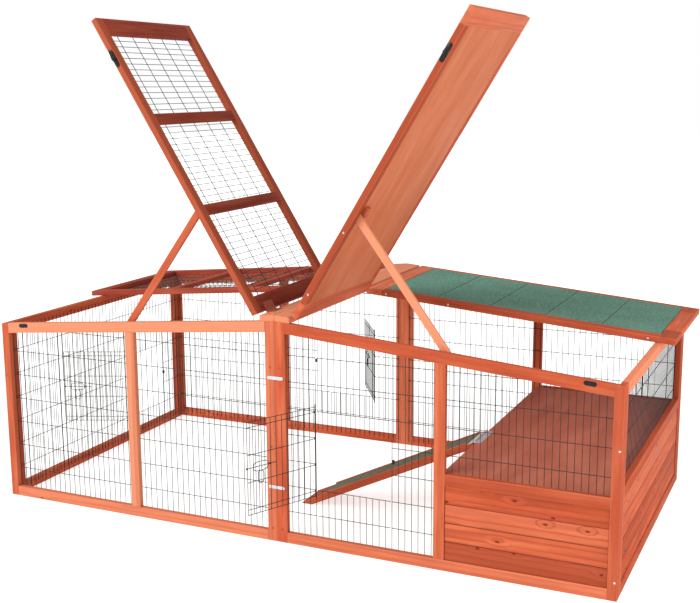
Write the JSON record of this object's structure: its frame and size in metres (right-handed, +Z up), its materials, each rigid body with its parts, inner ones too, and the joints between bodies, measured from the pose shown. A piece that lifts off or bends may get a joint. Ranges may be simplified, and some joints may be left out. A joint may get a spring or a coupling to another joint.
{
  "type": "rabbit run",
  "caption": "Outdoor rabbit run of framed wire mesh with a shallow gabled roof, two propped lids, a raised floor with a ramp, and wire doors.",
  "frame": {"origin": "on the ground at the front face, where the two halves of the run meet", "axes": "+X to the right along the front, +Y from front to back, +Z up"},
  "size_m": [2.5396, 1.6047, 1.7265],
  "materials": {
    "stained_wood": "softwood battens and boards under an orange-red stain, satin",
    "plywood": "thin plywood under a thin brown-red stain, matt",
    "roofing_felt": "green mineral-faced roofing felt, matt and gritty",
    "mesh_wire": "welded steel wire with a dull dark grey coat",
    "zinc_steel": "zinc-plated steel, satin",
    "black_iron": "pressed steel with black enamel, satin"
  },
  "bodies": {
    "run": {"left_front_frame": "stained_wood", "right_front_frame": "stained_wood", "left_rear_frame": "stained_wood", "right_rear_frame": "stained_wood", "left_end_frame": "stained_wood", "right_end_frame": "stained_wood", "ridge_boards": "stained_wood", "left_front_mesh": "mesh_wire", "right_front_mesh": "mesh_wire", "left_rear_mesh": "mesh_wire", "right_rear_mesh": "mesh_wire", "left_end_mesh": "mesh_wire", "right_end_mesh": "mesh_wire", "front_planks": "stained_wood", "end_planks": "stained_wood", "rear_planks": "stained_wood", "upper_floor": "plywood", "floor_bearers": "stained_wood", "left_roof_frame": "stained_wood", "left_roof_mesh": "mesh_wire", "right_roof_frame": "stained_wood", "right_roof_ply": "plywood", "right_roof_felt": "roofing_felt", "joining_plates": "zinc_steel", "joining_bolts": "zinc_steel", "frame_screws": "zinc_steel", "lid_keepers": "black_iron", "door_rods": "mesh_wire", "door_catches": "mesh_wire", "ridge_hinge_leaves": "zinc_steel", "lid_hinge_pins": "zinc_steel", "floor_hinge_leaf": "zinc_steel", "prop_bolts": "zinc_steel"},
    "left_lid": {"left_lid_frame": "stained_wood", "left_lid_mesh": "mesh_wire", "left_lid_hinges": "zinc_steel", "left_prop_block": "stained_wood", "left_latch_plate": "black_iron"},
    "right_lid": {"right_lid_frame": "stained_wood", "right_lid_ply": "plywood", "right_lid_felt": "roofing_felt", "right_lid_hinges": "zinc_steel", "right_prop_block": "stained_wood", "right_latch_plate": "black_iron"},
    "left_prop": {"left_prop": "stained_wood"},
    "right_prop": {"right_prop": "stained_wood"},
    "left_turn": {"left_latch_turn": "black_iron"},
    "right_turn": {"right_latch_turn": "black_iron"},
    "front_door": {"front_door": "mesh_wire"},
    "left_door": {"left_door": "mesh_wire"},
    "rear_door": {"rear_door": "mesh_wire"},
    "front_latch": {"front_door_latch": "mesh_wire"},
    "left_latch": {"left_door_latch": "mesh_wire"},
    "rear_latch": {"rear_door_latch": "mesh_wire"},
    "ramp": {"ramp_board": "stained_wood", "ramp_felt": "roofing_felt", "ramp_hinge_leaf": "zinc_steel"}
  },
  "joints": [
    {"name": "left_lid_hinge", "type": "hinge", "parent": "run", "child": "left_lid", "pos_m": [-0.06, 0.2885, 0.77082], "axis": [0, -1, 0], "range_deg": [0, 63.4]},
    {"name": "right_lid_hinge", "type": "hinge", "parent": "run", "child": "right_lid", "pos_m": [0.06, 0.2885, 0.77082], "axis": [0, 1, 0], "range_deg": [0, 63.4]},
    {"name": "left_prop_pivot", "type": "hinge", "parent": "run", "child": "left_prop", "pos_m": [-0.586, 0.0297, 0.68951], "axis": [0, -1, 0], "range_deg": [0, 137.2]},
    {"name": "right_prop_pivot", "type": "hinge", "parent": "run", "child": "right_prop", "pos_m": [0.586, 0.0297, 0.68951], "axis": [0, 1, 0], "range_deg": [0, 137.2]},
    {"name": "left_turn_pivot", "type": "hinge", "parent": "left_lid", "child": "left_turn", "pos_m": [-0.57821, -0.0045, 1.59356], "axis": [0, -1, 0], "range_deg": [0, 90]},
    {"name": "right_turn_pivot", "type": "hinge", "parent": "right_lid", "child": "right_turn", "pos_m": [0.57821, -0.0045, 1.59356], "axis": [0, 1, 0], "range_deg": [0, 90]},
    {"name": "front_door_hinge", "type": "hinge", "parent": "run", "child": "front_door", "pos_m": [0.1355, 0.016, 0.328], "axis": [0, 0, 1], "range_deg": [-40, 116]},
    {"name": "left_door_hinge", "type": "hinge", "parent": "run", "child": "left_door", "pos_m": [-1.112, 0.73, 0.2386], "axis": [0, 0, -1], "range_deg": [-40, 113]},
    {"name": "rear_door_hinge", "type": "hinge", "parent": "run", "child": "rear_door", "pos_m": [-0.1355, 1.144, 0.328], "axis": [0, 0, 1], "range_deg": [-95, 58]},
    {"name": "front_latch_slide", "type": "slide", "parent": "front_door", "child": "front_latch", "axis": [-0.4384, -0.8988, 0], "range_m": [0, 0.018]},
    {"name": "left_latch_slide", "type": "slide", "parent": "left_door", "child": "left_latch", "axis": [-0.9205, -0.3907, 0], "range_m": [0, 0.018]},
    {"name": "rear_latch_slide", "type": "slide", "parent": "rear_door", "child": "rear_latch", "axis": [-0.5299, 0.848, 0], "range_m": [0, 0.018]},
    {"name": "ramp_hinge", "type": "hinge", "parent": "run", "child": "ramp", "pos_m": [0.568, 0.42, 0.318], "axis": [0, 1, 0], "range_deg": [0, 50]}
  ],
  "couplings": [
    {"joint": "left_prop_pivot", "follows": "left_lid_hinge", "ratio": 2.164},
    {"joint": "right_prop_pivot", "follows": "right_lid_hinge", "ratio": 2.164}
  ]
}
